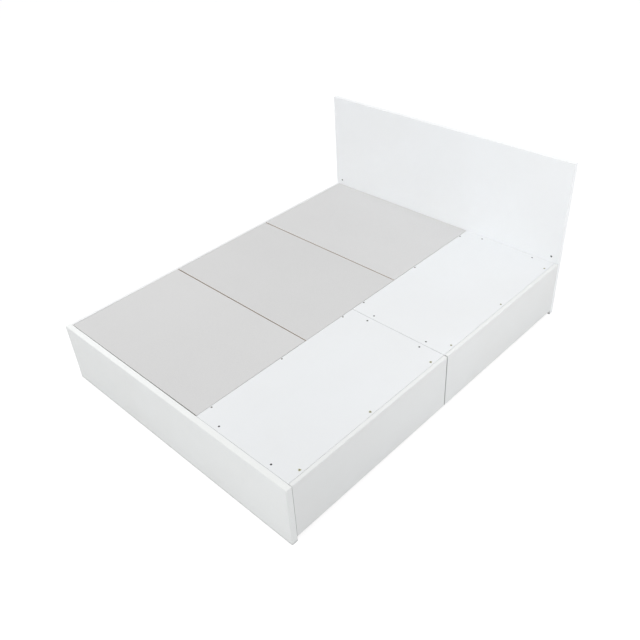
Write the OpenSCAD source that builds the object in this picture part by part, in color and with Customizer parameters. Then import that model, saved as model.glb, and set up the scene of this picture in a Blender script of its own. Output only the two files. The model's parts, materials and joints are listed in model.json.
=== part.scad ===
// Platform bed for a queen-size mattress, with two storage drawers along one side.
// X runs across the bed, with the drawers at +X. Y runs along it, with the headboard at +Y.
// Z is up. The origin is on the floor, under the middle of the bed.
// All sizes are in millimetres. The drawers are drawn shut.

/* [Bed] */
// Width of the bed, from the side rail to the drawer fronts
bed_w = 1520; // [1420:10:1900]
// Length of the mattress between the footboard and the headboard
mattress_l = 1900; // [1840:10:2100]
// Height of the mattress platform above the floor
platform_h = 315; // [305:5:360]
// Height of the headboard above the floor
headboard_h = 862; // [600:2:1100]
// Thickness of the headboard
headboard_t = 30; // [24:1:40]
// Thickness of the footboard
footboard_t = 30; // [24:1:40]
// Radius along the outer edges of the headboard and the footboard
end_board_r = 6; // [2:0.5:10]
// Thickness of the side rail
rail_t = 18; // [16:1:25]
// Radius that softens the edge of every other visible board
arris_r = 1; // [0.5:0.5:2]

/* [Deck] */
// Thickness of the deck boards
deck_t = 15; // [12:1:20]
// Gap between neighbouring deck boards
deck_joint = 5; // [3:0.5:8]
// Gap along both sides of the deck
deck_gap = 2; // [1.5:0.5:4]
// Gap between the deck and the footboard
deck_foot_gap = 3; // [2.5:0.5:5]
// Gap between the deck and the headboard
deck_head_gap = 1; // [0.5:0.5:3]
// Angle in degrees by which the loose board at the foot lies askew
deck_skew = 0.15; // [0:0.05:0.15]
// Width of the cleats that carry the deck's edges
cleat_w = 20; // [18:1:24]
// Height of the cleats
cleat_h = 30; // [24:1:40]
// Width of the cross bearers under the deck's joints
bearer_w = 60; // [40:2:90]
// Depth of the cross bearers
bearer_h = 30; // [24:1:40]
// Side of the square legs under the cross bearers
leg_w = 44; // [30:1:60]

/* [Chests] */
// Thickness of the end panels and back panels of the chests
carcass_t = 15; // [14:1:19]
// Thickness of the chest tops
top_t = 15; // [12:1:18]
// Gap at each end of a chest top
top_gap = 0.8; // [0.4:0.2:3]
// Gap between a chest top and the headboard
top_head_gap = 0.2; // [0:0.1:2]
// Width of the rail under a top's outer edge
front_rail_w = 32; // [24:1:40]
// Thickness of that rail
front_rail_h = 18; // [15:1:24]
// Width of the battens under a top's short edges
batten_w = 18; // [14:1:24]
// Height of those battens
batten_h = 30; // [18:1:32]
// Height of the kick rail between the end panels
kick_h = 40; // [25:1:50]
// Thickness of the kick rail
kick_t = 15; // [12:1:19]
// Distance of the kick rail behind the chest's front edge
kick_setback = 40; // [30:1:80]
// Space between a drawer box and the chest's back panel
rear_space = 19; // [10:1:60]

/* [Drawers] */
// Thickness of the drawer fronts
front_t = 18; // [16:1:22]
// Gap between a closed drawer front and the chest behind it
front_gap = 1; // [1:0.5:4]
// Gap between a drawer front and the board beside it
front_seam = 1.5; // [1:0.5:3]
// Gap between the two drawer fronts
front_split = 6; // [3:0.5:8]
// Height of the drawer fronts' lower edge above the floor
front_lift = 25; // [15:1:40]
// Radius along the upper and lower edges of the drawer fronts
front_r = 3; // [1:0.5:6]
// Radius at the ends of the drawer fronts
front_end_r = 1; // [0.5:0.5:3]
// Height of the drawer sides
drawer_h = 170; // [130:5:180]
// Thickness of the drawer sides
side_t = 12; // [12:1:16]
// Thickness of the drawer backs
back_t = 12; // [12:1:16]
// Thickness of the drawer bottoms
bottom_t = 5; // [3:0.5:6]
// Height of a drawer bottom above the lower edge of the sides
bottom_lift = 11; // [10:1:16]
// Depth of the grooves that hold the drawer bottoms
groove_depth = 6; // [4:0.5:7]
// Width of the brace under a drawer bottom
brace_w = 60; // [40:5:90]
// Thickness of that brace
brace_t = 9; // [6:0.5:9]

/* [Runners] */
// Length of the runners and of the drawer boxes
runner_l = 500; // [400:50:600]
// Space for a runner between a chest end and a drawer side
runner_space = 12.5; // [12.5:0.5:15]
// Height of the runner tracks above the floor
runner_z = 62; // [58:1:70]
// Thickness of the runners' sheet steel
steel_t = 1.2; // [0.8:0.1:1.4]
// Diameter of the rollers
roller_d = 22; // [18:1:24]
// Width of the rollers
roller_w = 5.6; // [4:0.2:5.6]
// Diameter of the axles that the rollers turn on
axle_d = 5; // [4:0.5:6]
// Rim of an axle's head round the axle
axle_rim = 1.5; // [1:0.1:2]
// Gap between a fixed roller and the steel behind it
roller_back_gap = 1; // [0.8:0.1:1.4]
// Distance from the end of a runner to its roller's axle
roller_inset = 14; // [13:1:20]
// Length of a runner that stays in the chest when its drawer is fully out
runner_overlap = 110; // [100:5:160]
// Height of the stop tab that a drawer's roller meets
stop_h = 4; // [3:0.5:5]

/* [Fasteners] */
// Length of the countersunk wood screws
screw_l = 28; // [26:0.5:28.5]
// Length of the short screws in the steel brackets
short_screw_l = 14; // [12:0.5:15]
// Diameter of the screws' shanks
shank_d = 4; // [3:0.5:4.5]
// Diameter of the screws' heads
head_d = 8; // [7:0.5:9]
// Height of the screws' heads
head_h = 2.5; // [2:0.1:3]
// Distance between screws along a top's long edges
long_pitch = 400; // [300:10:410]
// Distance between screws along a top's short edges
short_pitch = 302; // [200:2:340]
// Distance of the headboard's screws from its ends
head_screw_inset = 44; // [30:1:80]
// Height of the headboard's screws above the platform
head_screw_rise = 31; // [15:1:60]
// Length of the pan-head screws in the runners
fixing_l = 10; // [8:0.5:11]
// Diameter of those screws' shanks
fixing_d = 3; // [2.5:0.1:3.5]
// Diameter of those screws' heads
fixing_head_d = 5.6; // [5:0.2:6]
// Height of those screws' heads
fixing_head_h = 0.9; // [0.6:0.1:0.9]
// Thickness of the steel brackets and hangers
bracket_t = 2; // [1.5:0.5:3]
// Length of each leg of a corner bracket
bracket_leg = 50; // [40:1:70]
// Height of a corner bracket
bracket_h = 110; // [60:5:130]
// Length of the hangers along the bearers
hanger_l = 40; // [30:1:60]
// Width of each wing of a hanger
hanger_wing = 20; // [16:1:26]
// Diameter of the cam fittings that hold the drawer fronts
cam_d = 15; // [12:0.5:16]
// Depth of the cam fittings
cam_h = 9.5; // [8:0.5:10]
// Distance from a drawer front to the middle of a cam
cam_inset = 24; // [20:1:34]
// Diameter of the bolts that the cams pull on
cam_bolt_d = 6; // [5:0.5:6.5]

/* [Clearances] */
// Clearance round a screw, a bolt or a cam in its hole
hole_gap = 0.05; // [0.02:0.01:0.1]
// Radial clearance of a roller on its axle
axle_gap = 0.05; // [0.02:0.01:0.1]
// Clearance of a roller above and below, and beside its axle's head
roller_gap = 0.3; // [0.2:0.05:0.4]
// Clearance of a drawer bottom in its grooves
groove_gap = 0.15; // [0.1:0.05:0.3]
// Depth of a screw head below the board's face
head_sink = 0.5; // [0.2:0.1:1]

/* [Hidden] */
$fn = 48;
// Allowance that carries a cut clear through a face
cut = 1;

// Limits of the bed
rail_x = -bed_w / 2 + rail_t;
front_x = bed_w / 2 - front_t;
foot_y = -mattress_l / 2;
head_y = mattress_l / 2;

// Chests: two of the same length between the footboard and the headboard
chest_l = mattress_l / 2;
box_x0 = front_x - runner_l;
inner_x = box_x0 - rear_space;
chest_x0 = inner_x - carcass_t;
chest_x1 = front_x - front_gap;
chest_d = chest_x1 - chest_x0;
carcass_h = platform_h - top_t;
inner_l = chest_l - 2 * carcass_t;
function chest_y(i) = (i - 0.5) * chest_l;

// Deck: three boards between the side rail and the chests
deck_x0 = rail_x + deck_gap;
deck_x1 = chest_x0 - deck_gap;
deck_x = (rail_x + chest_x0) / 2;
deck_board_l = (mattress_l - deck_foot_gap - deck_head_gap - 2 * deck_joint) / 3;
deck_pitch = deck_board_l + deck_joint;
function deck_board_y(k) = foot_y + deck_foot_gap + deck_board_l / 2 + (k + 1) * deck_pitch;
function joint_y(s) = deck_board_y(0) + s * deck_pitch / 2;
deck_under = platform_h - deck_t;
bearer_x0 = rail_x + cleat_w;
bearer_x1 = chest_x0 - cleat_w;

// Drawer boxes
drawer_w = inner_l - 2 * runner_space;
side_drop = 2;
box_z0 = runner_z - side_drop;
bottom_z = box_z0 + bottom_lift;
groove_z = bottom_z - groove_gap;
groove_h = bottom_t + 2 * groove_gap;
back_z = groove_z + groove_h;
bottom_w = drawer_w - 2 * side_t + 2 * (groove_depth - groove_gap);

// Runners, in their own frame: u across from the chest's end panel, z up from the track
travel = runner_l - runner_overlap;
roller_r = roller_d / 2;
roller_chamfer = 0.7;
roller_dish = 0.8;
roller_rim = 2.2;
track_h = roller_d + 2 * roller_gap;
member_gap = 0.7;
track_w = runner_space - steel_t - member_gap;
lip_h = 2;
hook_w = 4.5;
flange_u = hook_w + member_gap;
under_flange = 11;
runner_front_gap = 2;
track_x0 = chest_x1 - runner_front_gap - runner_l;
chest_roller_x = chest_x1 - runner_front_gap - roller_inset;
drawer_roller_x = box_x0 + roller_inset;
chest_roller_u = steel_t + roller_back_gap;
drawer_roller_u = chest_roller_u + member_gap;
axle_head_t = 0.8;
axle_head_r = axle_d / 2 + axle_rim;
stop_reach = sqrt(pow(roller_r, 2) - pow(roller_r + roller_gap - stop_h, 2));
stop_x = drawer_roller_x + travel + stop_reach + roller_gap;
hook_past_stop = 20;
hook_l = stop_x + hook_past_stop - track_x0;
fixing_z = roller_r + roller_gap + axle_head_r + fixing_head_d / 2 + roller_gap;
fixing_end = 36;

// Screws
shank_r = shank_d / 2;
head_r = head_d / 2;
point_l = 4;
tip_r = 0.5;
mid_rail_x = chest_x1 - front_rail_w / 2;
mid_back_x = chest_x0 + carcass_t / 2;
end_screw_rise = 70;
end_screw_z = runner_z + track_h + end_screw_rise;
back_screw_low = 60;
back_screw_drop = 60;
bracket_z = 100;

// Edges of the timber
timber_r = 2;
leg_r = 3;

// ---------- Profiles and boards ----------

// Piece between a square corner and a quarter circle of radius r, with the corner at the origin
module corner_waste(r) {
  difference() {
    translate([-cut, -cut]) square(r + cut);
    translate([r, r]) circle(r);
  }
}

// Rectangle w by h with its corner radii given as [lower left, lower right, upper right, upper left]
module profile(w, h, r) {
  difference() {
    square([w, h]);
    if (r[0] > 0) corner_waste(r[0]);
    if (r[1] > 0) translate([w, 0]) rotate(90) corner_waste(r[1]);
    if (r[2] > 0) translate([w, h]) rotate(180) corner_waste(r[2]);
    if (r[3] > 0) translate([0, h]) rotate(270) corner_waste(r[3]);
  }
}

// Extrudes a profile drawn in Y and Z along X
module along_x(l) rotate([90, 0, 90]) linear_extrude(l) children();

// Extrudes a profile drawn in X and Z along Y
module along_y(l) translate([0, l, 0]) rotate([90, 0, 0]) linear_extrude(l) children();

// Board that lies flat, with all its upper edges softened
module flat_board(size, r) {
  intersection() {
    along_x(size[0]) profile(size[1], size[2], [0, 0, r, r]);
    along_y(size[1]) profile(size[0], size[2], [0, 0, r, r]);
  }
}

// Board across the bed, with radius r on its outer edges and a softened inner edge
module end_board(t, h) {
  intersection() {
    along_x(bed_w) profile(t, h, [0, 0, arris_r, end_board_r]);
    linear_extrude(h) profile(bed_w, t, [end_board_r, end_board_r, arris_r, arris_r]);
  }
}

// ---------- Screws and their holes: the face of the board is at z = 0 and the screw goes down ----------

module screw(l) {
  translate([0, 0, -head_sink]) {
    difference() {
      union() {
        translate([0, 0, -head_h]) cylinder(h = head_h, r1 = shank_r, r2 = head_r);
        translate([0, 0, point_l - l]) cylinder(h = l - point_l - head_h, r = shank_r);
        translate([0, 0, -l]) cylinder(h = point_l, r1 = tip_r, r2 = shank_r);
      }
      cross_recess(head_r);
    }
  }
}

// Cross-shaped driver recess in a head of radius r whose face is at z = 0
module cross_recess(r) {
  arm = 1.15 * r;
  slot = 0.28 * r;
  deep = 0.4 * r;
  translate([-arm / 2, -slot / 2, -deep]) cube([arm, slot, deep + cut]);
  translate([-slot / 2, -arm / 2, -deep]) cube([slot, arm, deep + cut]);
}

module screw_hole(l) {
  translate([0, 0, -head_sink]) cylinder(h = head_sink + cut, r = head_r + hole_gap);
  translate([0, 0, -head_sink - head_h])
    cylinder(h = head_h, r1 = shank_r + hole_gap, r2 = head_r + hole_gap);
  translate([0, 0, -head_sink - l - hole_gap])
    cylinder(h = l + hole_gap - head_h / 2, r = shank_r + hole_gap);
}

// Pan-head screw that fixes a runner: its head lies on the steel at z = 0
module fixing_screw() {
  difference() {
    cylinder(h = fixing_head_h, d = fixing_head_d);
    translate([0, 0, fixing_head_h]) cross_recess(fixing_head_d / 4);
  }
  translate([0, 0, point_l / 2 - fixing_l]) cylinder(h = fixing_l - point_l / 2, d = fixing_d);
  translate([0, 0, -fixing_l]) cylinder(h = point_l / 2, r1 = tip_r, r2 = fixing_d / 2);
}

module fixing_hole() {
  translate([0, 0, -fixing_l - hole_gap]) cylinder(h = fixing_l + cut, d = fixing_d + 2 * hole_gap);
}

// ---------- Places of the screws ----------

// Down through a chest top into the back panel, the front rail and the battens
module at_top_screws(i) {
  translate([0, chest_y(i), platform_h]) {
    for (x = [mid_back_x, mid_rail_x], y = [-long_pitch, 0, long_pitch])
      translate([x, y, 0]) children();
    for (x = [-1, 1], y = [-1, 1])
      translate([
        (chest_x0 + chest_x1) / 2 + x * short_pitch / 2,
        y * (inner_l / 2 - batten_w / 2),
        0
      ]) children();
  }
}

// From the back of a chest into the edges of its end panels
module at_back_screws(i) {
  for (s = [-1, 1], z = [back_screw_low, carcass_h - back_screw_drop])
    translate([chest_x0, chest_y(i) + s * (inner_l + carcass_t) / 2, z])
      rotate([0, -90, 0]) children();
}

// From inside a chest through the end panel at side s
module at_end_screws(i, s) {
  for (x = [0.25, 0.75])
    translate([inner_x + x * (chest_x1 - inner_x), chest_y(i) + s * inner_l / 2, end_screw_z])
      rotate([s * 90, 0, 0]) children();
}

// Through the cleats on the side rail and on the chests
module at_long_cleat_screws() {
  for (k = [-3, -1, 1, 3])
    translate([0, k * mattress_l / 8, deck_under - cleat_h / 2]) {
      translate([rail_x + cleat_w, 0, 0]) rotate([0, 90, 0]) children();
      translate([chest_x0 - cleat_w, 0, 0]) rotate([0, -90, 0]) children();
    }
}

// Through the cleats on the footboard and the headboard
module at_end_cleat_screws() {
  for (s = [-1, 1], k = [-1, 0, 1])
    translate([
      deck_x + k * (bearer_x1 - bearer_x0) / 3,
      s * (mattress_l / 2 - cleat_w),
      deck_under - cleat_h / 2
    ]) rotate([s * 90, 0, 0]) children();
}

// Into the front face of the headboard, just above the platform
module at_headboard_screws() {
  for (s = [-1, 1])
    translate([s * (bed_w / 2 - head_screw_inset), head_y, platform_h + head_screw_rise])
      rotate([90, 0, 0]) children();
}

// Through the corner brackets: into the side rail, and into the board across the end
module at_bracket_screws() {
  for (s = [-1, 1], z = [0.25, 0.75]) {
    translate([rail_x + bracket_t, s * (mattress_l / 2 - 0.6 * bracket_leg), bracket_z + z * bracket_h])
      rotate([0, 90, 0]) children();
    translate([rail_x + 0.6 * bracket_leg, s * (mattress_l / 2 - bracket_t), bracket_z + z * bracket_h])
      rotate([s * 90, 0, 0]) children();
  }
}

// Through the hangers' wings into the cleats
module at_hanger_screws() {
  for (s = [-1, 1], w = [-1, 1])
    translate([0, joint_y(s) + w * (bearer_w + hanger_wing + bracket_t) / 2, deck_under - bearer_h / 2]) {
      translate([bearer_x0 + bracket_t, 0, 0]) rotate([0, 90, 0]) children();
      translate([bearer_x1 - bracket_t, 0, 0]) rotate([0, -90, 0]) children();
    }
}

module panel_screws() {
  color("darkgoldenrod") {
    for (i = [0, 1]) {
      at_top_screws(i) screw(screw_l);
      at_back_screws(i) screw(screw_l);
    }
    at_end_screws(0, -1) screw(screw_l);
    at_end_screws(0, 1) screw(screw_l);
    at_end_screws(1, 1) screw(screw_l);
    at_long_cleat_screws() screw(screw_l);
    at_end_cleat_screws() screw(screw_l);
    at_headboard_screws() screw(screw_l);
  }
}

// ---------- Head, foot and side ----------

module headboard() {
  color("whitesmoke") difference() {
    translate([bed_w / 2, head_y + headboard_t, 0]) rotate([0, 0, 180]) end_board(headboard_t, headboard_h);
    at_headboard_screws() screw_hole(screw_l);
    at_end_screws(1, 1) screw_hole(screw_l);
    at_end_cleat_screws() screw_hole(screw_l);
    at_bracket_screws() screw_hole(short_screw_l);
  }
}

module footboard() {
  color("whitesmoke") difference() {
    translate([-bed_w / 2, foot_y - footboard_t, 0]) end_board(footboard_t, platform_h);
    at_end_screws(0, -1) screw_hole(screw_l);
    at_end_cleat_screws() screw_hole(screw_l);
    at_bracket_screws() screw_hole(short_screw_l);
  }
}

module side_rail() {
  color("whitesmoke") difference() {
    translate([-bed_w / 2, foot_y, 0])
      along_y(mattress_l) profile(rail_t, platform_h, [0, 0, arris_r, front_r]);
    at_long_cleat_screws() screw_hole(screw_l);
    at_bracket_screws() screw_hole(short_screw_l);
  }
}

// Steel angles that tie the side rail to the headboard and the footboard
module corner_brackets() {
  color("silver") {
    difference() {
      for (s = [0, 1])
        mirror([0, s, 0])
          translate([rail_x, foot_y, bracket_z])
            linear_extrude(bracket_h) {
              square([bracket_leg, bracket_t]);
              square([bracket_t, bracket_leg]);
            }
      at_bracket_screws() screw_hole(short_screw_l);
    }
    at_bracket_screws() screw(short_screw_l);
  }
}

// ---------- Deck and what carries it ----------

// Board k of the deck, from -1 at the foot to 1 at the head, each less askew than the last
module deck_board(k) {
  w = deck_x1 - deck_x0;
  color("lightgray")
    translate([deck_x, deck_board_y(k), deck_under])
      rotate(deck_skew * (1 - k) / 2)
        translate([-w / 2, -deck_board_l / 2, 0])
          flat_board([w, deck_board_l, deck_t], arris_r);
}

module rail_cleat() {
  color("burlywood") difference() {
    translate([rail_x, foot_y, deck_under - cleat_h]) cube([cleat_w, mattress_l, cleat_h]);
    at_long_cleat_screws() screw_hole(screw_l);
    at_hanger_screws() screw_hole(short_screw_l);
  }
}

module chest_cleat() {
  color("burlywood") difference() {
    translate([chest_x0 - cleat_w, foot_y, deck_under - cleat_h]) cube([cleat_w, mattress_l, cleat_h]);
    at_long_cleat_screws() screw_hole(screw_l);
    at_hanger_screws() screw_hole(short_screw_l);
  }
}

module end_cleats() {
  color("burlywood") difference() {
    for (y = [foot_y, head_y - cleat_w])
      translate([bearer_x0, y, deck_under - cleat_h]) cube([bearer_x1 - bearer_x0, cleat_w, cleat_h]);
    at_end_cleat_screws() screw_hole(screw_l);
  }
}

module bearer(s) {
  color("burlywood")
    translate([bearer_x0, joint_y(s) - bearer_w / 2, deck_under - bearer_h])
      along_x(bearer_x1 - bearer_x0)
        profile(bearer_w, bearer_h, [timber_r, timber_r, timber_r, timber_r]);
}

module bearer_legs() {
  color("burlywood")
    for (s = [-1, 1])
      translate([deck_x - leg_w / 2, joint_y(s) - leg_w / 2, 0])
        linear_extrude(deck_under - bearer_h) profile(leg_w, leg_w, [leg_r, leg_r, leg_r, leg_r]);
}

// Steel shoes that hold the ends of the bearers to the cleats
module hanger() {
  shoe_w = bearer_w + 2 * (bracket_t + hole_gap);
  translate([0, -shoe_w / 2, -bearer_h - bracket_t]) {
    difference() {
      cube([hanger_l, shoe_w, bearer_h + bracket_t]);
      translate([-cut, bracket_t, bracket_t])
        cube([hanger_l + 2 * cut, shoe_w - 2 * bracket_t, bearer_h + cut]);
    }
    for (y = [-hanger_wing, shoe_w])
      translate([0, y, bracket_t]) cube([bracket_t, hanger_wing, bearer_h]);
  }
}

module bearer_hangers() {
  color("silver") {
    difference() {
      for (s = [-1, 1]) {
        translate([bearer_x0, joint_y(s), deck_under]) hanger();
        translate([bearer_x1, joint_y(s), deck_under]) rotate([0, 0, 180]) hanger();
      }
      at_hanger_screws() screw_hole(short_screw_l);
    }
    at_hanger_screws() screw(short_screw_l);
  }
}

// ---------- Chests ----------

module chest_top(i) {
  l = chest_l - top_gap - (i == 0 ? top_gap : top_head_gap);
  color("white") difference() {
    translate([chest_x0, chest_y(i) - chest_l / 2 + top_gap, carcass_h])
      flat_board([chest_d, l, top_t], arris_r);
    at_top_screws(i) screw_hole(screw_l);
  }
}

module chest_end(i, s) {
  color("white") difference() {
    translate([inner_x, chest_y(i) + s * (inner_l + carcass_t) / 2 - carcass_t / 2, 0])
      cube([chest_x1 - inner_x, carcass_t, carcass_h]);
    at_back_screws(i) screw_hole(screw_l);
    if (i == 0) at_end_screws(0, s) screw_hole(screw_l);
    if (i == 1 && s == 1) at_end_screws(1, 1) screw_hole(screw_l);
    if (i == 1 && s == -1) at_end_screws(0, 1) screw_hole(screw_l);
    at_runner(i, s) at_chest_fixings() fixing_hole();
  }
}

module chest_back(i) {
  color("white") difference() {
    translate([chest_x0, chest_y(i) - chest_l / 2, 0]) cube([carcass_t, chest_l, carcass_h]);
    at_top_screws(i) screw_hole(screw_l);
    at_back_screws(i) screw_hole(screw_l);
    at_long_cleat_screws() screw_hole(screw_l);
  }
}

module chest_front_rail(i) {
  color("white") difference() {
    translate([chest_x1 - front_rail_w, chest_y(i) - inner_l / 2, carcass_h - front_rail_h])
      cube([front_rail_w, inner_l, front_rail_h]);
    at_top_screws(i) screw_hole(screw_l);
  }
}

module chest_kick_rail(i) {
  color("white")
    translate([chest_x1 - kick_setback - kick_t, chest_y(i) - inner_l / 2, 0])
      cube([kick_t, inner_l, kick_h]);
}

module chest_battens(i) {
  color("burlywood") difference() {
    for (s = [-1, 1])
      translate([inner_x, chest_y(i) + s * (inner_l - batten_w) / 2 - batten_w / 2, carcass_h - batten_h])
        cube([chest_x1 - front_rail_w - inner_x, batten_w, batten_h]);
    at_top_screws(i) screw_hole(screw_l);
  }
}

// ---------- Roller runners ----------

// Frame of the runner pair at end s of chest i: Y points from the end panel to the drawer side
module at_runner(i, s) {
  translate([0, chest_y(i) + s * inner_l / 2, runner_z])
    if (s > 0) mirror([0, 1, 0]) children();
    else children();
}

// Strip of the runners' sheet steel whose middle follows a path of straight stretches
module strip(path) {
  for (k = [0 : len(path) - 2]) {
    step = path[k + 1] - path[k];
    translate(path[k]) rotate(atan2(step[1], step[0])) translate([0, -steel_t / 2])
      square([norm(step), steel_t]);
  }
  for (p = path) translate(p) circle(d = steel_t);
}

// Roller with a bore, a dished web and a chamfered rim, its axis along Y
module roller(x, u) {
  bore_r = axle_d / 2 + axle_gap;
  dish_r = axle_head_r + axle_gap;
  color("white")
    translate([x, u, roller_r + roller_gap])
      rotate([-90, 0, 0])
        rotate_extrude() difference() {
          translate([bore_r, 0]) square([roller_r - bore_r, roller_w]);
          for (v = [0, roller_w]) {
            translate([roller_r, v]) rotate(45) square(roller_chamfer, center = true);
            translate([dish_r, v - roller_dish])
              square([roller_r - roller_rim - dish_r, 2 * roller_dish]);
          }
        }
}

// Axle at x from u0 to u1, with its head beyond u1
module axle(x, u0, u1) {
  translate([x, u0, roller_r + roller_gap]) {
    rotate([u1 > u0 ? -90 : 90, 0, 0]) {
      cylinder(h = abs(u1 - u0), d = axle_d);
      translate([0, 0, abs(u1 - u0)]) cylinder(h = axle_head_t, r = axle_head_r);
    }
  }
}

// Screws that fix the chest's member, in the runner's frame: Z points out of the end panel
module at_chest_fixings() {
  for (x = [track_x0 + fixing_end, track_x0 + runner_l / 2, chest_roller_x - fixing_end])
    translate([x, steel_t + hole_gap, fixing_z]) rotate([-90, 0, 0]) children();
}

// Screws that fix the drawer's member from below, in the runner's frame: Z points down
module at_drawer_fixings() {
  for (x = [box_x0 + fixing_end, box_x0 + runner_l / 2, front_x - fixing_end])
    translate([x, runner_space + side_t / 2, -side_drop - steel_t - hole_gap])
      rotate([180, 0, 0]) children();
}

// Member on the chest's end panel: a track with a lip, a hook over the drawer's roller,
// a stop tab, and a fixed roller at the front
module chest_runner(i, s) {
  color("gainsboro") at_runner(i, s) {
    difference() {
      translate([track_x0, 0, 0]) {
        along_x(runner_l)
          strip([
            [track_w - steel_t / 2, lip_h - steel_t / 2],
            [track_w - steel_t / 2, -steel_t / 2],
            [steel_t / 2, -steel_t / 2],
            [steel_t / 2, track_h + steel_t / 2]
          ]);
        along_x(hook_l)
          strip([[steel_t / 2, track_h + steel_t / 2], [hook_w - steel_t / 2, track_h + steel_t / 2]]);
      }
      at_chest_fixings() fixing_hole();
    }
    translate([stop_x, drawer_roller_u, -steel_t / 2]) cube([steel_t, roller_w, stop_h + steel_t / 2]);
    axle(chest_roller_x, steel_t / 2, chest_roller_u + roller_w + roller_gap);
    at_chest_fixings() fixing_screw();
  }
}

// Member under the drawer's side: it wraps the lower edge, its flange runs on the chest's roller,
// and its own roller runs in the track
module drawer_runner(i, s) {
  web_u = runner_space - steel_t / 2;
  under_z = -side_drop - steel_t / 2;
  flange_z = track_h + steel_t / 2;
  color("gainsboro") at_runner(i, s) {
    difference() {
      translate([box_x0, 0, 0])
        along_x(runner_l)
          strip([
            [runner_space + under_flange, under_z],
            [web_u, under_z],
            [web_u, flange_z],
            [flange_u + steel_t / 2, flange_z]
          ]);
      at_drawer_fixings() fixing_hole();
    }
    axle(drawer_roller_x, web_u, drawer_roller_u - roller_gap);
    at_drawer_fixings() fixing_screw();
  }
}

module chest_roller(i, s) at_runner(i, s) roller(chest_roller_x, chest_roller_u);

module drawer_roller(i, s) at_runner(i, s) roller(drawer_roller_x, drawer_roller_u);

// ---------- Drawers ----------

// Frame of a cam and its bolt in the drawer side at s: Z points into the drawer from the side's face
module at_cams(i, s) {
  for (z = [0.22, 0.78])
    translate([front_x - cam_inset, chest_y(i) + s * (drawer_w / 2 - side_t), box_z0 + z * drawer_h])
      rotate([s * 90, 0, 0]) children();
}

// Bolt from the cam's middle into the drawer front, in the cam's frame
module cam_bolt(gap) {
  translate([0, 0, -side_t / 2])
    rotate([0, 90, 0])
      cylinder(h = cam_inset + 0.6 * front_t + gap, d = cam_bolt_d + 2 * gap);
}

module drawer_front(i) {
  y0 = i == 0 ? foot_y + front_seam : front_split / 2;
  w = chest_l - front_seam - front_split / 2;
  h = platform_h - front_lift;
  color("white") difference() {
    translate([front_x, y0, front_lift]) intersection() {
      along_y(w) profile(front_t, h, [arris_r, front_r, front_r, arris_r]);
      linear_extrude(h) profile(front_t, w, [arris_r, front_end_r, front_end_r, arris_r]);
    }
    translate([front_x - cut, chest_y(i) - bottom_w / 2 - groove_gap, groove_z])
      cube([groove_depth + cut, bottom_w + 2 * groove_gap, groove_h]);
    for (s = [-1, 1]) at_cams(i, s) cam_bolt(hole_gap);
  }
}

module drawer_side(i, s) {
  y_mid = chest_y(i) + s * (drawer_w - side_t) / 2;
  y_face = chest_y(i) + s * (drawer_w / 2 - side_t);
  color("white") difference() {
    translate([box_x0, y_mid - side_t / 2, box_z0])
      along_x(runner_l) profile(side_t, drawer_h, [0, 0, arris_r, arris_r]);
    translate([box_x0 - cut, y_face - groove_depth, groove_z])
      cube([runner_l + 2 * cut, 2 * groove_depth, groove_h]);
    at_cams(i, s) {
      translate([0, 0, -cam_h - hole_gap]) cylinder(h = cam_h + cut, d = cam_d + 2 * hole_gap);
      cam_bolt(hole_gap);
    }
    at_runner(i, s) at_drawer_fixings() fixing_hole();
  }
}

module drawer_back(i) {
  inside = drawer_w - 2 * side_t;
  color("white")
    translate([box_x0, chest_y(i) - inside / 2, back_z])
      along_y(inside) profile(back_t, box_z0 + drawer_h - back_z, [0, 0, arris_r, arris_r]);
}

module drawer_bottom(i) {
  color("white")
    translate([box_x0, chest_y(i) - bottom_w / 2, bottom_z])
      cube([runner_l + groove_depth - groove_gap, bottom_w, bottom_t]);
}

module drawer_brace(i) {
  color("burlywood")
    translate([box_x0, chest_y(i) - brace_w / 2, bottom_z - brace_t]) cube([runner_l, brace_w, brace_t]);
}

// Cams in the drawer sides, and the bolts that they pull on
module drawer_cams(i) {
  color("silver")
    for (s = [-1, 1])
      at_cams(i, s) {
        difference() {
          translate([0, 0, -cam_h]) cylinder(h = cam_h, d = cam_d);
          cam_bolt(hole_gap);
          cross_recess(cam_d / 4);
        }
        cam_bolt(0);
      }
}

// ---------- The bed ----------

headboard();
footboard();
side_rail();
rail_cleat();
end_cleats();
chest_cleat();
bearer(-1);  // bearer_foot
bearer(1);  // bearer_head
bearer_legs();
bearer_hangers();
corner_brackets();
deck_board(-1);  // deck_board_foot
deck_board(0);  // deck_board_middle
deck_board(1);  // deck_board_head
panel_screws();
chest_top(0);  // chest_foot_top
chest_end(0, -1);  // chest_foot_outer_end
chest_end(0, 1);  // chest_foot_inner_end
chest_back(0);  // chest_foot_back
chest_front_rail(0);  // chest_foot_front_rail
chest_kick_rail(0);  // chest_foot_kick_rail
chest_battens(0);  // chest_foot_battens
chest_top(1);  // chest_head_top
chest_end(1, 1);  // chest_head_outer_end
chest_end(1, -1);  // chest_head_inner_end
chest_back(1);  // chest_head_back
chest_front_rail(1);  // chest_head_front_rail
chest_kick_rail(1);  // chest_head_kick_rail
chest_battens(1);  // chest_head_battens
chest_runner(0, -1);  // chest_foot_runner_a
chest_runner(0, 1);  // chest_foot_runner_b
chest_runner(1, -1);  // chest_head_runner_a
chest_runner(1, 1);  // chest_head_runner_b
chest_roller(0, -1);  // chest_foot_roller_a
chest_roller(0, 1);  // chest_foot_roller_b
chest_roller(1, -1);  // chest_head_roller_a
chest_roller(1, 1);  // chest_head_roller_b
drawer_front(0);  // drawer_foot_front
drawer_side(0, -1);  // drawer_foot_side_a
drawer_side(0, 1);  // drawer_foot_side_b
drawer_back(0);  // drawer_foot_back
drawer_bottom(0);  // drawer_foot_bottom
drawer_brace(0);  // drawer_foot_brace
drawer_runner(0, -1);  // drawer_foot_runner_a
drawer_runner(0, 1);  // drawer_foot_runner_b
drawer_roller(0, -1);  // drawer_foot_roller_a
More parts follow.
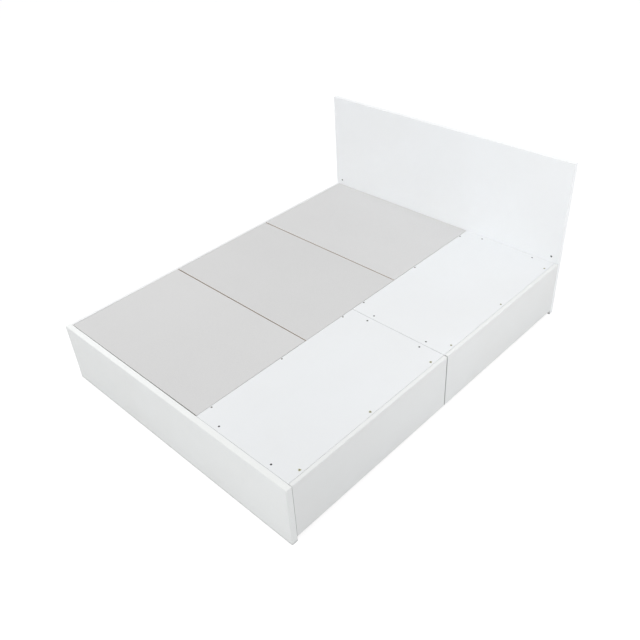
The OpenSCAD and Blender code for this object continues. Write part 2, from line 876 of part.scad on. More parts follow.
drawer_roller(0, 1);  // drawer_foot_roller_b
drawer_cams(0);  // drawer_foot_cams
drawer_front(1);  // drawer_head_front
drawer_side(1, -1);  // drawer_head_side_a
drawer_side(1, 1);  // drawer_head_side_b
drawer_back(1);  // drawer_head_back
drawer_bottom(1);  // drawer_head_bottom
drawer_brace(1);  // drawer_head_brace
drawer_runner(1, -1);  // drawer_head_runner_a
drawer_runner(1, 1);  // drawer_head_runner_b
drawer_roller(1, -1);  // drawer_head_roller_a
drawer_roller(1, 1);  // drawer_head_roller_b
drawer_cams(1);  // drawer_head_cams
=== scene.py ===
import json
import math

import bmesh
import bpy
from mathutils import Matrix, Vector


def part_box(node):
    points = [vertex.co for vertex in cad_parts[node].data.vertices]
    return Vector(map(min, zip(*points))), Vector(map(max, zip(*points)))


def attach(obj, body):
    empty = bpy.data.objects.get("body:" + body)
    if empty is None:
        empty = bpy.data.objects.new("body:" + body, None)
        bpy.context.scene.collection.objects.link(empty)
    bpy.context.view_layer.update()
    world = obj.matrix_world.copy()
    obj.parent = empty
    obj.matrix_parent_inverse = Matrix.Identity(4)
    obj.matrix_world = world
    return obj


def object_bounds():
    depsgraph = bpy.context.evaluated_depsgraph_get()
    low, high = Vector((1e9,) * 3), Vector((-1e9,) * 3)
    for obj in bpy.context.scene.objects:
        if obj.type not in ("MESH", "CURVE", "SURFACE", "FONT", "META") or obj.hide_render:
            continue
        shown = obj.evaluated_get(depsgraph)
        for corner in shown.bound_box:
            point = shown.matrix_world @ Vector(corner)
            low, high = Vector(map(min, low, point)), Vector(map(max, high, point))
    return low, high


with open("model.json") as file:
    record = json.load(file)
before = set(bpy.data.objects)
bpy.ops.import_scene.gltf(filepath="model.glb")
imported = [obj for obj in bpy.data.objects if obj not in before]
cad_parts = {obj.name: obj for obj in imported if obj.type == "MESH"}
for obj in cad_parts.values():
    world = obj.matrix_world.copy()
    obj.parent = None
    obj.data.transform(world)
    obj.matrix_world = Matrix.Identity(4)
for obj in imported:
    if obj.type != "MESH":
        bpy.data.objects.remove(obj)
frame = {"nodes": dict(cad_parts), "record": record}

cad_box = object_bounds()
nodes = frame["nodes"]
slot_of = {p["node"]: p["material_slot"] for p in frame["record"]["subparts"]}
MM = 0.001
# A screw further than this from a chest's middle, across it, is in the top's front row or its back row
ROW = 200 * MM


# ---------- Node trees ----------

class Net:
    """A material round one Principled shader, worked in the object's own coordinates in metres."""

    def __init__(self, name, **fixed):
        self.mat = bpy.data.materials.new(name)
        self.mat.use_nodes = True
        self.tree = self.mat.node_tree
        self.tree.nodes.clear()
        out = self.add("ShaderNodeOutputMaterial")
        self.bsdf = self.add("ShaderNodeBsdfPrincipled")
        self.tree.links.new(self.bsdf.outputs[0], out.inputs[0])
        self.co = self.add("ShaderNodeTexCoord").outputs["Object"]
        for key, value in fixed.items():
            self.bsdf.inputs[key.replace("_", " ")].default_value = value

    def add(self, kind, inputs=None, **props):
        node = self.tree.nodes.new(kind)
        for key, value in props.items():
            setattr(node, key, value)
        for key, value in (inputs or {}).items():
            self.put(node.inputs[key], value)
        return node

    def put(self, socket, value):
        if isinstance(value, bpy.types.NodeSocket):
            self.tree.links.new(value, socket)
        else:
            socket.default_value = value

    def math(self, op, a, b=0.0):
        return self.add("ShaderNodeMath", {0: a, 1: b}, operation=op).outputs[0]

    def vmath(self, op, a, b=(0, 0, 0)):
        return self.add("ShaderNodeVectorMath", {0: a, 1: b}, operation=op).outputs[0]

    def split(self, vector):
        return self.add("ShaderNodeSeparateXYZ", {0: vector}).outputs

    def scaled(self, x, y, z):
        return self.vmath("MULTIPLY", self.co, (x, y, z))

    def stretched(self, axis, by):
        """The coordinates squeezed along one axis, so that a pattern on them is drawn out along it."""
        scale = [1.0, 1.0, 1.0]
        scale[axis] = by
        return self.scaled(*scale)

    def noise(self, scale, detail=2.0, rough=0.5, vector=None, distortion=0.0):
        inputs = {"Vector": vector or self.co, "Scale": scale, "Detail": detail, "Roughness": rough,
                  "Distortion": distortion}
        return self.add("ShaderNodeTexNoise", inputs).outputs["Fac"]

    def cells(self, scale, output="Distance"):
        return self.add("ShaderNodeTexVoronoi", {"Vector": self.co, "Scale": scale}).outputs[output]

    def ranged(self, value, a, b, lo=0.0, hi=1.0):
        """lo where the value is a, hi where it is b, with a smooth step between them."""
        inputs = {0: value, 1: a, 2: b, 3: lo, 4: hi}
        return self.add("ShaderNodeMapRange", inputs, interpolation_type="SMOOTHSTEP").outputs[0]

    def mix(self, factor, a, b):
        node = self.add("ShaderNodeMix", {0: factor}, data_type="RGBA")
        for socket, value in ((node.inputs[6], a), (node.inputs[7], b)):
            self.put(socket, value if isinstance(value, bpy.types.NodeSocket) else (*value, 1.0))
        return node.outputs[2]

    def bump(self, height, depth, strength, normal=None):
        node = self.add("ShaderNodeBump", {"Strength": strength, "Distance": depth, "Height": height})
        if normal:
            self.put(node.inputs["Normal"], normal)
        return node.outputs[0]

    def done(self, colour, rough, normal):
        self.put(self.bsdf.inputs["Base Color"], colour)
        self.put(self.bsdf.inputs["Roughness"], rough)
        self.put(self.bsdf.inputs["Normal"], normal)
        return self.mat

    def inward(self, node):
        """How far in the shaded point is, along each axis, from the sides of the board that a CAD node is."""
        lo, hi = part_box(node)
        from_middle = self.vmath("ABSOLUTE", self.vmath("SUBTRACT", self.co, tuple((lo + hi) / 2)))
        return self.split(self.vmath("SUBTRACT", tuple((hi - lo) / 2), from_middle))

    def edge(self, node):
        """Distance from the shaded point to the nearest edge of the board: the middle one of the three."""
        x, y, z = self.inward(node)
        low = self.math("MINIMUM", x, y)
        high = self.math("MAXIMUM", x, y)
        return self.math("MAXIMUM", low, self.math("MINIMUM", high, z))

    def inset(self, node):
        """Distance, in plan, from the shaded point in to the nearest side of the board."""
        x, y, _ = self.inward(node)
        return self.math("MINIMUM", x, y)

    def slope(self, axis):
        """The surface's normal, along one axis."""
        return self.split(self.add("ShaderNodeNewGeometry").outputs["Normal"])[axis]

    def facing(self, axis, sign=0):
        """1 where the surface faces along an axis: either way, or up or down it with a sign of 1 or -1."""
        value = self.slope(axis)
        value = self.math("ABSOLUTE", value) if sign == 0 else self.math("MULTIPLY", value, float(sign))
        return self.ranged(value, 0.75, 0.95)


def grey(level, warm=0.0):
    """A grey, with a little more red and less blue where it is warm."""
    return (level * (1 + warm), level, level * (1 - warm))


def shade(colour, by, warm=0.0):
    """A colour times a factor, and warmed in the same way."""
    return (colour[0] * by * (1 + warm), colour[1] * by, colour[2] * by * (1 - warm))


# ---------- Materials ----------

CORE = ((0.34, 0.26, 0.17), (0.50, 0.41, 0.29))
# Darkening near the floor, partly soiling and partly painted shade: how much of it there is at least and at
# most, and its tone against the board's white
FAINT_SOIL_AND_SHADE = (0.2, 0.5, 0.5)
# Deeper, as painted shade, on the chests' end panels and the headboard's face towards the bed
DEEP_PAINTED_SHADE = (0.75, 0.95, 0.40)


def foil_board(name, node, white, banded, ends=1.0, sides=1.0, top=1.0, soil_and_shade=FAINT_SOIL_AND_SHADE):
    """White satin foil on board: faint clouding, a pebbled emboss with painted shade in its hollows, softly
    worn arrises, a hairline at banded edges, painted light and shade where it faces along X, along Y and up,
    bare core where a top is bored, and darkening near the floor that is partly soiling and partly painted
    shade."""
    n = Net(name, IOR=1.46)
    edge = n.edge(node)
    _, y, z = n.split(n.co)

    cloud = n.noise(2.2, 3.0, 0.6)
    smear = n.noise(9.0, 4.0, 0.7, n.scaled(1.0, 0.35, 1.0), 0.6)
    specks = n.ranged(n.cells(55.0), 0.0, 0.022, 0.22, 0.0)
    colour = n.mix(n.ranged(cloud, 0.3, 0.7), shade(white, 0.988, 0.003), shade(white, 1.008, -0.002))
    colour = n.mix(n.ranged(smear, 0.45, 0.8, 0.0, 0.35), colour, shade(white, 0.985))
    colour = n.mix(specks, colour, shade(white, 0.86, 0.02))

    arris = n.ranged(edge, 0.0, 2.2 * MM, 1.0, 0.0)
    worn = n.math("MULTIPLY", arris, n.ranged(n.noise(38.0, 4.0, 0.65), 0.5, 0.72))
    colour = n.mix(n.math("MULTIPLY", worn, 0.25), colour, shade(white, 0.93, 0.012))

    if banded:
        inner = n.ranged(edge, 1.15 * MM, 1.5 * MM, 1.0, 0.0)
        line = n.math("MULTIPLY", n.ranged(edge, 0.9 * MM, 1.15 * MM), inner)
        if node == "chest_head_top":
            # No hairline on the edge that meets the headboard
            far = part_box(node)[1].y
            line = n.math("MULTIPLY", line, n.ranged(y, far - 4 * MM, far - 2 * MM, 1.0, 0.0))
        colour = n.mix(n.math("MULTIPLY", line, 0.30), colour, shade(white, 0.62, 0.05))

    # Painted light and shade: faces along X, along Y and up are drawn lighter or darker than the rest, as
    # light falls on them
    for axis, sign, tone in ((0, 0, ends), (1, 0, sides), (2, 1, top)):
        if tone != 1.0:
            warm = 0.004 if axis == 2 else 0.0
            colour = n.mix(n.facing(axis, sign), colour, shade(white, tone, warm))

    if name.endswith("_top"):
        deep = n.ranged(n.math("SUBTRACT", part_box(node)[1].z, z), 0.10 * MM, 0.18 * MM)
        bored = n.math("MULTIPLY", deep, n.ranged(n.inset(node), 3.0 * MM, 3.2 * MM))
        colour = n.mix(bored, colour, n.mix(n.noise(800.0, 3.0, 0.7), *CORE))

    # Darkening near the floor, partly soiling and partly painted shade
    least, most, tone = soil_and_shade
    low = n.ranged(z, 3 * MM, 17 * MM, 1.0, 0.0)
    # On the headboard only its face towards the bed is darkened, as painted shade under the drawer fronts'
    # corner
    if node == "headboard":
        low = n.math("MULTIPLY", low, n.facing(1, -1))
    soil_shade_mask = n.math("MULTIPLY", low, n.ranged(n.noise(45.0, 3.0, 0.6), 0.3, 0.7, least, most))
    colour = n.mix(soil_shade_mask, colour, shade(white, tone, 0.03))

    pebble = n.noise(640.0, 1.5, 0.45)
    # Painted shade: the emboss's hollows are drawn darker
    colour = n.mix(n.ranged(pebble, 0.30, 0.46, 0.35, 0.0), colour, shade(white, 0.93, 0.004))
    rough = n.math("ADD", n.ranged(smear, 0.25, 0.8, 0.36, 0.46), n.math("MULTIPLY", worn, -0.08))
    normal = n.bump(pebble, 0.45 * MM, 0.8)
    normal = n.bump(n.noise(14.0, 2.0, 0.4), 0.35 * MM, 0.25, normal)
    return n.done(colour, rough, normal)


def deck_board(name, node, level):
    """Light warm grey board, matt, with a short fleck along its length. Its sawn edges show the core: brown,
    and a dusty grey on the edge by the footboard."""
    n = Net(name, IOR=1.45)
    cloud = n.noise(3.1, 4.0, 0.6)
    fleck = n.noise(520.0, 3.0, 0.65, n.stretched(0, 0.45))
    spots = n.ranged(n.noise(260.0, 4.0, 0.7), 0.60, 0.78, 0.0, 0.30)
    colour = n.mix(n.ranged(cloud, 0.3, 0.7), grey(level * 0.985, 0.002), grey(level * 1.012, 0.001))
    colour = n.mix(n.ranged(fleck, 0.36, 0.66), colour, grey(level * 1.07, 0.001))
    colour = n.mix(spots, colour, grey(level * 0.88, 0.008))
    chip = n.ranged(n.noise(750.0, 3.0, 0.7), 0.35, 0.65)
    colour = n.mix(n.facing(1), colour, n.mix(chip, (0.54, 0.45, 0.36), (0.69, 0.595, 0.50)))
    if node == "deck_board_foot":
        colour = n.mix(n.facing(1, -1), colour, n.mix(chip, (0.49, 0.48, 0.46), (0.63, 0.62, 0.60)))
    scuff = n.ranged(n.noise(5.0, 6.0, 0.75, n.scaled(1.0, 3.5, 1.0)), 0.58, 0.80, 0.0, 0.22)
    colour = n.mix(scuff, colour, grey(level * 1.07))
    return n.done(colour, n.ranged(fleck, 0.3, 0.7, 0.56, 0.68), n.bump(fleck, 0.16 * MM, 0.7))


def timber(name, along):
    """Planed softwood: growth bands and fibres drawn out along one axis, with darker late wood and pores, and
    darker still where it faces up, as painted shade under the deck boards."""
    light, dark = (0.66, 0.48, 0.29), (0.44, 0.27, 0.13)
    n = Net(name, IOR=1.45)
    grain = n.stretched(along, 0.06)
    bands = n.math("FRACT", n.math("MULTIPLY", n.noise(11.0, 2.0, 0.5, grain), 13.0))
    late = n.math("MULTIPLY", n.ranged(bands, 0.35, 0.85), n.ranged(bands, 0.86, 0.98, 1.0, 0.0))
    fibre = n.noise(620.0, 3.0, 0.7, grain)
    pores = n.ranged(n.noise(900.0, 2.0, 0.6, grain), 0.62, 0.75, 0.0, 0.5)
    colour = n.mix(late, light, dark)
    colour = n.mix(n.ranged(fibre, 0.35, 0.7, 0.0, 0.35), colour, shade(dark, 0.62))
    colour = n.mix(n.ranged(n.noise(4.0, 2.0), 0.3, 0.7, 0.0, 0.3), colour, (0.71, 0.55, 0.36))
    colour = n.mix(pores, colour, shade(dark, 0.4))
    # Painted shade: faces that look up, under the deck boards, are darkened
    colour = n.mix(n.math("MULTIPLY", n.facing(2, 1), 0.5), colour, shade(dark, 0.3))
    height = n.math("SUBTRACT", n.math("MULTIPLY", late, 0.4), n.math("MULTIPLY", fibre, 0.8))
    return n.done(colour, n.ranged(fibre, 0.3, 0.7, 0.55, 0.75), n.bump(height, 0.15 * MM, 0.6))


def wrapped_board(name, along):
    """Vinyl-wrapped drawer board: white with a shallow printed grain along its length."""
    level = 0.80
    n = Net(name, IOR=1.5)
    streak = n.noise(210.0, 4.0, 0.65, n.stretched(along, 0.035))
    colour = n.mix(n.ranged(streak, 0.35, 0.7), grey(level, 0.004), grey(level * 0.955, 0.010))
    colour = n.mix(n.ranged(n.noise(3.0, 3.0), 0.35, 0.7, 0.0, 0.4), colour, grey(level * 0.98))
    return n.done(colour, n.ranged(streak, 0.3, 0.7, 0.34, 0.46), n.bump(streak, 0.07 * MM, 0.5))


# The screen pattern's waves, in radians a metre
SCREEN = 3600.0


def hardboard(name):
    """Drawer bottom: lacquered white above, bare brown fibre with a screen pattern below."""
    n = Net(name, IOR=1.45)
    under = n.ranged(n.slope(2), -0.6, -0.2, 1.0, 0.0)
    fibre = n.noise(340.0, 5.0, 0.75)
    brown = n.mix(n.ranged(fibre, 0.3, 0.7), (0.20, 0.11, 0.055), (0.34, 0.21, 0.12))
    x, y, _ = n.split(n.co)
    waves = [n.math("SINE", n.math("MULTIPLY", along, SCREEN)) for along in (x, y)]
    weave = n.math("MULTIPLY", *waves)
    lacquer = n.mix(n.ranged(n.noise(5.0, 3.0), 0.3, 0.7), grey(0.80, 0.004), grey(0.775, 0.008))
    dust = n.ranged(n.noise(700.0, 3.0, 0.6), 0.55, 0.75, 0.0, 0.25)
    colour = n.mix(under, n.mix(dust, lacquer, grey(0.66, 0.02)), brown)
    height = n.math("ADD", fibre, n.math("MULTIPLY", n.math("MULTIPLY", weave, under), 0.8))
    return n.done(colour, n.ranged(under, 0.0, 1.0, 0.42, 0.85), n.bump(height, 0.12 * MM, 0.5))


def enamel(name):
    """White epoxy on sheet steel: a slight orange peel, rubbed patches and a few chips to the grey steel."""
    n = Net(name, IOR=1.5)
    peel = n.noise(480.0, 2.0, 0.4)
    rub = n.ranged(n.noise(26.0, 5.0, 0.7, n.stretched(0, 0.25)), 0.55, 0.75)
    chip = n.ranged(n.noise(190.0, 3.0, 0.7), 0.73, 0.76)
    colour = n.mix(n.ranged(n.noise(6.0, 3.0), 0.3, 0.7), (0.80, 0.79, 0.75), (0.76, 0.75, 0.72))
    colour = n.mix(n.math("MULTIPLY", rub, 0.3), colour, (0.64, 0.63, 0.61))
    colour = n.mix(chip, colour, (0.34, 0.34, 0.35))
    rough = n.math("ADD", 0.30, n.math("MULTIPLY", rub, 0.14))
    return n.done(colour, rough, n.bump(peel, 0.08 * MM, 0.4))


def nylon(name):
    """Moulded white nylon with faint dark smuts."""
    n = Net(name, IOR=1.53, Subsurface_Weight=0.08, Subsurface_Radius=(0.004, 0.0035, 0.003))
    mould = n.noise(360.0, 3.0, 0.6)
    smut = n.ranged(n.noise(110.0, 4.0, 0.7, n.scaled(0.3, 1.0, 0.3)), 0.45, 0.75)
    colour = n.mix(n.ranged(mould, 0.3, 0.7), (0.80, 0.79, 0.755), (0.77, 0.76, 0.72))
    colour = n.mix(n.math("MULTIPLY", smut, 0.35), colour, (0.52, 0.51, 0.49))
    return n.done(colour, n.ranged(mould, 0.3, 0.7, 0.38, 0.5), n.bump(mould, 0.04 * MM, 0.4))


def zinc(name, light, dark, scale, rough):
    """Zinc-plated steel: spangle in two tones, a fine grain and dull patches."""
    n = Net(name, Metallic=1.0)
    tone = n.split(n.cells(scale, output="Color"))[0]
    dull = n.noise(scale * 0.3, 4.0, 0.65)
    colour = n.mix(tone, light, dark)
    colour = n.mix(n.ranged(dull, 0.5, 0.75, 0.0, 0.5), colour, shade(dark, 0.7))
    rough = n.ranged(dull, 0.3, 0.7, rough, rough + 0.16)
    return n.done(colour, rough, n.bump(n.noise(900.0, 2.0, 0.6), 0.03 * MM, 0.4))


def screws(name):
    """Dull oiled screw heads: bronze ones along the chests' front edges, grey ones along their backs, and
    near black ones elsewhere; their dark tones are partly their own finish and partly painted shade of the
    recesses they sit in."""
    n = Net(name, Metallic=1.0)
    x, _, z = n.split(n.co)
    lo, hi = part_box("chest_foot_top")
    across = n.math("SUBTRACT", x, (lo.x + hi.x) / 2)
    # The headboard's screws stand higher than this
    below = n.ranged(z, hi.z + 2 * MM, hi.z + 4 * MM, 1.0, 0.0)
    in_front = n.math("MULTIPLY", n.ranged(across, ROW, ROW + 5 * MM), below)
    in_back = n.math("MULTIPLY", n.ranged(across, -ROW - 5 * MM, -ROW, 1.0, 0.0), below)
    tone = n.split(n.cells(700.0, output="Color"))[0]
    dull = n.noise(420.0, 4.0, 0.65)
    # Partly painted shade: the heads' tones are darker than the metal alone, for the shade in their recesses
    black = n.mix(tone, (0.075, 0.075, 0.08), (0.035, 0.035, 0.038))
    bronze = n.mix(tone, (0.31, 0.31, 0.20), (0.21, 0.21, 0.13))
    plain = n.mix(tone, (0.22, 0.22, 0.21), (0.14, 0.14, 0.13))
    colour = n.mix(in_back, n.mix(in_front, black, bronze), plain)
    colour = n.mix(n.ranged(dull, 0.5, 0.75, 0.0, 0.5), colour, (0.03, 0.028, 0.025))
    rough = n.ranged(dull, 0.3, 0.7, 0.34, 0.52)
    return n.done(colour, rough, n.bump(n.noise(900.0, 2.0, 0.6), 0.03 * MM, 0.4))


def torn_foil_and_shade(name, dark, light):
    """Torn foil and board dust round a countersunk screw, darkened partly as painted shade of the
    countersink.
    """
    n = Net(name, IOR=1.4)
    grit = n.noise(1900.0, 3.0, 0.7)
    colour = n.mix(n.ranged(grit, 0.35, 0.65), dark, light)
    return n.done(colour, n.ranged(grit, 0.3, 0.7, 0.8, 0.95), n.bump(grit, 0.10 * MM, 0.8))


def soft_plastic(name):
    """A soft bumper dot's milky plastic."""
    n = Net(name, IOR=1.49, Subsurface_Weight=0.15, Subsurface_Radius=(0.003, 0.003, 0.003))
    cloud = n.noise(500.0, 3.0, 0.5)
    colour = n.mix(n.ranged(cloud, 0.3, 0.7), (0.74, 0.75, 0.74), (0.68, 0.69, 0.69))
    return n.done(colour, n.ranged(cloud, 0.3, 0.7, 0.22, 0.34), n.bump(cloud, 0.05 * MM, 0.3))


# Which axis a timber piece's grain runs along, where it isn't X: 1 for Y, 2 for Z
grain_axes = {"rail_cleat": 1, "chest_cleat": 1, "bearer_legs": 2}
# The boards' whites: partly their own tones and partly painted light and shade for how each is lit; the
# footboard's lower level is painted shade
WHITE = (0.817, 0.830, 0.830)
whites = {
    "headboard": (0.841, 0.858, 0.871),
    "footboard": (0.772, 0.788, 0.785),
    "side_rail": (0.807, 0.817, 0.821),
    "chest_foot_top": (0.780, 0.796, 0.809),
    "chest_head_top": (0.785, 0.801, 0.814),
}
# How light or dark a board's faces along X, along Y and up are drawn, as painted light and shade, and how its
# foot is darkened, where foil_board's own don't do
painted_light_and_shade = {
    "headboard": {"ends": 1.135, "top": 1.075, "soil_and_shade": DEEP_PAINTED_SHADE},
    "footboard": {"ends": 1.13, "top": 1.07},
    "drawer_foot_front": {"sides": 0.82, "top": 0.97},
    "drawer_head_front": {"sides": 0.82, "top": 0.97},
}
# The deck boards' levels: partly their own tones and partly painted light and shade for how each is lit
deck_levels = {"deck_board_foot": 0.606, "deck_board_middle": 0.592, "deck_board_head": 0.607}

shared = {
    "drawer_bottom": hardboard("drawer_bottom"),
    "runner_enamel": enamel("runner_enamel"),
    "roller_nylon": nylon("roller_nylon"),
    "bracket_steel": zinc("bracket_steel", (0.66, 0.67, 0.69), (0.50, 0.51, 0.54), 140.0, 0.30),
    "screw_steel": screws("screw_steel"),
    "cam_zinc": zinc("cam_zinc", (0.60, 0.60, 0.61), (0.47, 0.47, 0.49), 600.0, 0.36),
}
timbers = [timber("timber_across", 0), timber("timber_along", 1), timber("timber_upright", 2)]
wrapped = [wrapped_board("drawer_board_across", 0), wrapped_board("drawer_board_along", 1)]

for name, node in nodes.items():
    slot = slot_of[name]
    if slot == "white_board":
        banded = not name.endswith(("_front", "board")) and name != "side_rail"
        face_light_and_shade = painted_light_and_shade.get(name, {"soil_and_shade": DEEP_PAINTED_SHADE} if name.endswith("_end") else {})
        material = foil_board("foil_" + name, name, whites.get(name, WHITE), banded, **face_light_and_shade)
    elif slot == "grey_board":
        material = deck_board("board_" + name, name, deck_levels[name])
    elif slot == "raw_timber":
        material = timbers[grain_axes.get(name, 0)]
    elif slot == "drawer_board":
        material = wrapped[1 if name.endswith("_back") else 0]
    else:
        material = shared[slot]
    node.data.materials.clear()
    node.data.materials.append(material)


# ---------- Small pieces that the solids leave out ----------

def mesh_from(bm, name):
    mesh = bpy.data.meshes.new(name)
    bm.to_mesh(mesh)
    bm.free()
    return mesh


def piece(name, mesh, material, body):
    o = bpy.data.objects.new(name, mesh)
    bpy.context.scene.collection.objects.link(o)
    o.data.materials.append(material)
    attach(o, body)


def islands(node):
    """(middle, lowest corner, highest corner) of each separate solid in a CAD node."""
    bm = bmesh.new()
    bm.from_mesh(nodes[node].data)
    bmesh.ops.remove_doubles(bm, verts=bm.verts, dist=1e-6)
    seen, found = set(), []
    for start in bm.verts:
        if start in seen:
            continue
        seen.add(start)
        group, stack = [], [start]
        while stack:
            v = stack.pop()
            group.append(v.co.copy())
            for e in v.link_edges:
                w = e.other_vert(v)
                if w not in seen:
                    seen.add(w)
                    stack.append(w)
        lo = Vector([min(p[k] for p in group) for k in range(3)])
        hi = Vector([max(p[k] for p in group) for k in range(3)])
        found.append(((lo + hi) / 2, lo, hi))
    bm.free()
    return found


RING_INNER_R = 4.05 * MM
RING_H = 0.12 * MM
RING_STEPS = 28
# The ring's section, from its inner edge to its outer one: the shares of its width and of its height
RING_SECTION = ((0.0, 0.0), (0.35, 1.0), (0.7, 0.7), (1.0, 0.0))


def ring(bm, centre, width, height, seed):
    """A low, uneven ring of torn foil, darkened partly as painted shade, whose axis is +Z, closed below, on
    the surface at centre.
    """
    grid = []
    for i in range(RING_STEPS):
        a = 2 * math.pi * i / RING_STEPS
        uneven = 1 + 0.35 * math.sin(3 * a + seed) + 0.25 * math.sin(7 * a + 2.3 * seed)
        line = []
        for across, up in RING_SECTION:
            r = RING_INNER_R + width * across * uneven
            offset = Vector((r * math.cos(a), r * math.sin(a), height * up * uneven))
            line.append(bm.verts.new(centre + offset))
        grid.append(line)
    for i in range(RING_STEPS):
        near, far = grid[i], grid[(i + 1) % RING_STEPS]
        for k in range(len(RING_SECTION)):
            m = (k + 1) % len(RING_SECTION)
            face = bm.faces.new((near[k], near[m], far[m], far[k]))
            face.smooth = m > 0


# Rings of torn foil that are partly painted shade of the countersinks, by where a chest's screws stand across
# its top, and the rings' widths in millimetres on the two chests
rings = [("back", torn_foil_and_shade("foil_tear_and_shade_grey", (0.38, 0.36, 0.33), (0.62, 0.61, 0.58))),
         ("middle", torn_foil_and_shade("foil_tear_and_shade_dark", (0.10, 0.10, 0.10), (0.26, 0.26, 0.26))),
         ("front", torn_foil_and_shade("foil_tear_and_shade_olive", (0.45, 0.44, 0.31), (0.66, 0.65, 0.50)))]
ring_widths = {"chest_foot": (0.5, 0.65, 2.3), "chest_head": (0.75, 0.4, 1.1)}
HEADBOARD_RING_W = 1.3 * MM
panel_screws = islands("panel_screws")

for chest, widths in ring_widths.items():
    lo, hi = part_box(chest + "_top")
    heads = [c for c, _, high in panel_screws
             if lo.z < high.z < hi.z and lo.x < c.x < hi.x and lo.y < c.y < hi.y]
    middle = (lo.x + hi.x) / 2
    for row, (where, material) in enumerate(rings):
        bm = bmesh.new()
        for k, c in enumerate(heads):
            if row == (c.x > middle - ROW) + (c.x > middle + ROW):
                ring(bm, Vector((c.x, c.y, hi.z)), widths[row] * MM, RING_H, 1.7 * k + 0.4)
        name = f"{chest}_chips_{where}"
        piece(name, mesh_from(bm, name), material, "bed_frame")

# The headboard's two screws look out along -Y, so their rings are made lying down and then stood up
front_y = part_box("headboard")[0].y
top_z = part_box("chest_foot_top")[1].z
bm = bmesh.new()
for k, c in enumerate(c for c, low, _ in panel_screws if low.z > top_z):
    ring(bm, Vector((c.x, -c.z, front_y)), HEADBOARD_RING_W, -RING_H, 2.1 * k + 0.9)
for v in bm.verts:
    v.co = Vector((v.co.x, v.co.z, -v.co.y))
bmesh.ops.recalc_face_normals(bm, faces=bm.faces)
# The headboard's rings take the dark ring material: torn foil, partly painted shade
piece("headboard_tear_and_shade", mesh_from(bm, "headboard_tear_and_shade"), rings[1][1], "bed_frame")

# How far the bumpers stand below the top of a chest's end panel
BUMPER_DROPS = (22 * MM, 190 * MM)
# A bumper's section: the radius in millimetres, and the share of its height
BUMPER_SECTION = ((4.0, 0.0), (4.0, 0.45), (3.6, 0.72), (2.6, 0.90), (1.3, 0.96))
BUMPER_AIR = 0.2 * MM
BUMPER_STEPS = 24


def bumper(bm, base, height):
    """A domed dot whose axis is +X, closed below, on the surface at base."""
    last = None
    for radius, up in BUMPER_SECTION:
        loop = []
        for i in range(BUMPER_STEPS):
            a = 2 * math.pi * i / BUMPER_STEPS
            offset = Vector((up * height, radius * MM * math.cos(a), radius * MM * math.sin(a)))
            loop.append(bm.verts.new(base + offset))
        if last:
            for i in range(BUMPER_STEPS):
                j = (i + 1) % BUMPER_STEPS
                bm.faces.new((last[i], last[j], loop[j], loop[i])).smooth = True
        else:
            bm.faces.new(loop[::-1])
        last = loop
    bm.faces.new(last)


plastic = soft_plastic("bumper_plastic")
for chest, drawer in (("chest_foot", "drawer_foot"), ("chest_head", "drawer_head")):
    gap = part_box(drawer + "_front")[0].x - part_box(chest + "_outer_end")[1].x
    bm = bmesh.new()
    for end in ("_outer_end", "_inner_end"):
        lo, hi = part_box(chest + end)
        for drop in BUMPER_DROPS:
            bumper(bm, Vector((hi.x, (lo.y + hi.y) / 2, hi.z - drop)), gap - BUMPER_AIR)
    piece(chest + "_bumpers", mesh_from(bm, chest + "_bumpers"), plastic, "bed_frame")


# ---------- Floor, light and camera ----------

def seen_directly(tree):
    """A factor that is 1 for camera, glossy and transmission rays, and 0 for the others."""
    path = tree.nodes.new("ShaderNodeLightPath")
    factor = path.outputs["Is Camera Ray"]
    for ray in ("Is Glossy Ray", "Is Transmission Ray"):
        either = tree.nodes.new("ShaderNodeMath")
        either.operation = "MAXIMUM"
        tree.links.new(factor, either.inputs[0])
        tree.links.new(path.outputs[ray], either.inputs[1])
        factor = either.outputs[0]
    return factor


def two_ways(tree, lit, seen, out):
    """Ends a tree in one shader for the rays that carry light and another for what is seen."""
    mix = tree.nodes.new("ShaderNodeMixShader")
    tree.links.new(seen_directly(tree), mix.inputs[0])
    tree.links.new(lit.outputs[0], mix.inputs[1])
    tree.links.new(seen.outputs[0], mix.inputs[2])
    tree.links.new(mix.outputs[0], out.inputs[0])


def coloured(tree, kind, colour, strength=None):
    node = tree.nodes.new(kind)
    node.inputs["Color"].default_value = (*colour, 1)
    if strength is not None:
        node.inputs["Strength"].default_value = strength
    return node


PURE_WHITE = (1, 1, 1)
# The floor bounces light as a light grey, and is seen as a glow that takes a faint shadow
FLOOR_BOUNCE = (0.74, 0.74, 0.745)
FLOOR_SHADE = (0.34, 0.34, 0.34)
FLOOR_GLOW = 0.80
FLOOR_SIZE = 30.0
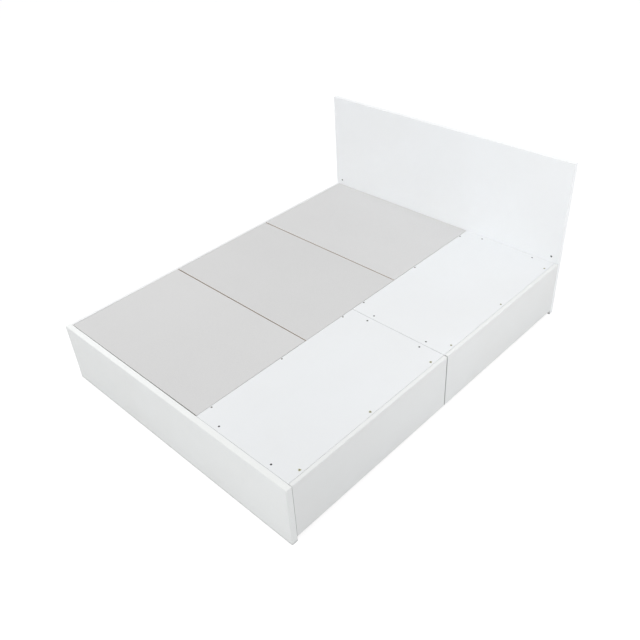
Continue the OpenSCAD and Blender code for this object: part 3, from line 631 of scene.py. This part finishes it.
# Under the lowest solid, so that no face lies in the floor
FLOOR_DROP = 0.2 * MM
WORLD = 0.60
LAMPS = {
    # name: (place, aimed at, width, height, watts, spread in degrees)
    "left": ((-3.8, 0.0, 3.2), (0.0, 0.0, 0.3), 3.0, 2.0, 69.0, 180.0),
    "front": ((-0.3, -4.5, 1.8), (0.0, -0.5, 0.4), 3.0, 2.0, 27.5, 180.0),
    "middle": ((0.0, -1.0, 3.0), (0.2, 0.95, 0.5), 1.5, 1.5, 2.5, 180.0),
    "low": ((1.6, -3.2, 1.3), (0.4, 0.95, 0.6), 1.5, 1.5, 13.5, 180.0),
    "right": ((2.0, 0.1, 1.5), (0.5, 0.95, 0.5), 1.0, 1.0, 8.0, 180.0),
    "over": ((0.2, 0.3, 2.4), (0.2, 0.6, 0.3), 1.6, 1.2, 6.3, 180.0),
    "back": ((-0.6, 4.5, 2.2), (0.0, 0.9, 0.4), 3.0, 2.0, 13.5, 180.0),
    "end": ((2.6, 2.2, 1.2), (0.76, 0.965, 0.6), 1.0, 1.0, 6.5, 180.0),
    # A narrow beam along the headboard's foot
    "corner": ((-0.15, -2.9, 1.9), (-0.15, 0.95, 0.40), 1.5, 0.15, 0.14, 13.0),
}


def floor_material():
    mat = bpy.data.materials.new("floor")
    mat.use_nodes = True
    t = mat.node_tree
    t.nodes.clear()
    out = t.nodes.new("ShaderNodeOutputMaterial")
    bounce = coloured(t, "ShaderNodeBsdfDiffuse", FLOOR_BOUNCE)
    shadow = coloured(t, "ShaderNodeBsdfDiffuse", FLOOR_SHADE)
    glow = coloured(t, "ShaderNodeEmission", PURE_WHITE, FLOOR_GLOW)
    both = t.nodes.new("ShaderNodeAddShader")
    t.links.new(shadow.outputs[0], both.inputs[0])
    t.links.new(glow.outputs[0], both.inputs[1])
    two_ways(t, bounce, both, out)
    return mat


bm = bmesh.new()
bmesh.ops.create_grid(bm, x_segments=8, y_segments=8, size=FLOOR_SIZE)
floor = bpy.data.objects.new("floor", mesh_from(bm, "floor"))
floor.location = (0, 0, cad_box[0][2] - FLOOR_DROP)
bpy.context.scene.collection.objects.link(floor)
floor.data.materials.append(floor_material())

world = bpy.data.worlds.new("studio")
bpy.context.scene.world = world
world.use_nodes = True
t = world.node_tree
t.nodes.clear()
out = t.nodes.new("ShaderNodeOutputWorld")
dome = coloured(t, "ShaderNodeBackground", PURE_WHITE, WORLD)
backdrop = coloured(t, "ShaderNodeBackground", PURE_WHITE, 1.0)
two_ways(t, dome, backdrop, out)

for name, (place, aim, width, height, watts, spread) in LAMPS.items():
    data = bpy.data.lights.new(name, "AREA")
    data.shape = "RECTANGLE"
    data.size = width
    data.size_y = height
    data.energy = watts
    data.spread = math.radians(spread)
    lamp = bpy.data.objects.new(name, data)
    lamp.location = place
    lamp.rotation_euler = (Vector(aim) - Vector(place)).to_track_quat("-Z", "Y").to_euler()
    bpy.context.scene.collection.objects.link(lamp)

# The camera looks at aim from a distance, turned about its own axis by roll
azimuth, elevation, roll = math.radians(45.904), math.radians(36.871), math.radians(-3.784)
aim = Vector((0.1347, -0.1478, 0.300))
distance = 3.3978
back = Vector((math.sin(azimuth) * math.cos(elevation), -math.cos(azimuth) * math.cos(elevation),
               math.sin(elevation)))
right = Vector((math.cos(azimuth), math.sin(azimuth), 0.0))
up = back.cross(right)
tilted_right = math.cos(roll) * right + math.sin(roll) * up
tilted_up = math.cos(roll) * up - math.sin(roll) * right
place = aim + distance * back
camera_data = bpy.data.cameras.new("camera")
camera_data.sensor_width = 36.0
camera_data.lens = 40.40
camera_data.clip_end = 100.0
camera = bpy.data.objects.new("camera", camera_data)
camera.matrix_world = Matrix((
    (tilted_right.x, tilted_up.x, back.x, place.x),
    (tilted_right.y, tilted_up.y, back.y, place.y),
    (tilted_right.z, tilted_up.z, back.z, place.z),
    (0, 0, 0, 1),
))
bpy.context.scene.collection.objects.link(camera)
bpy.context.scene.camera = camera
bpy.context.scene.view_settings.view_transform = "Standard"
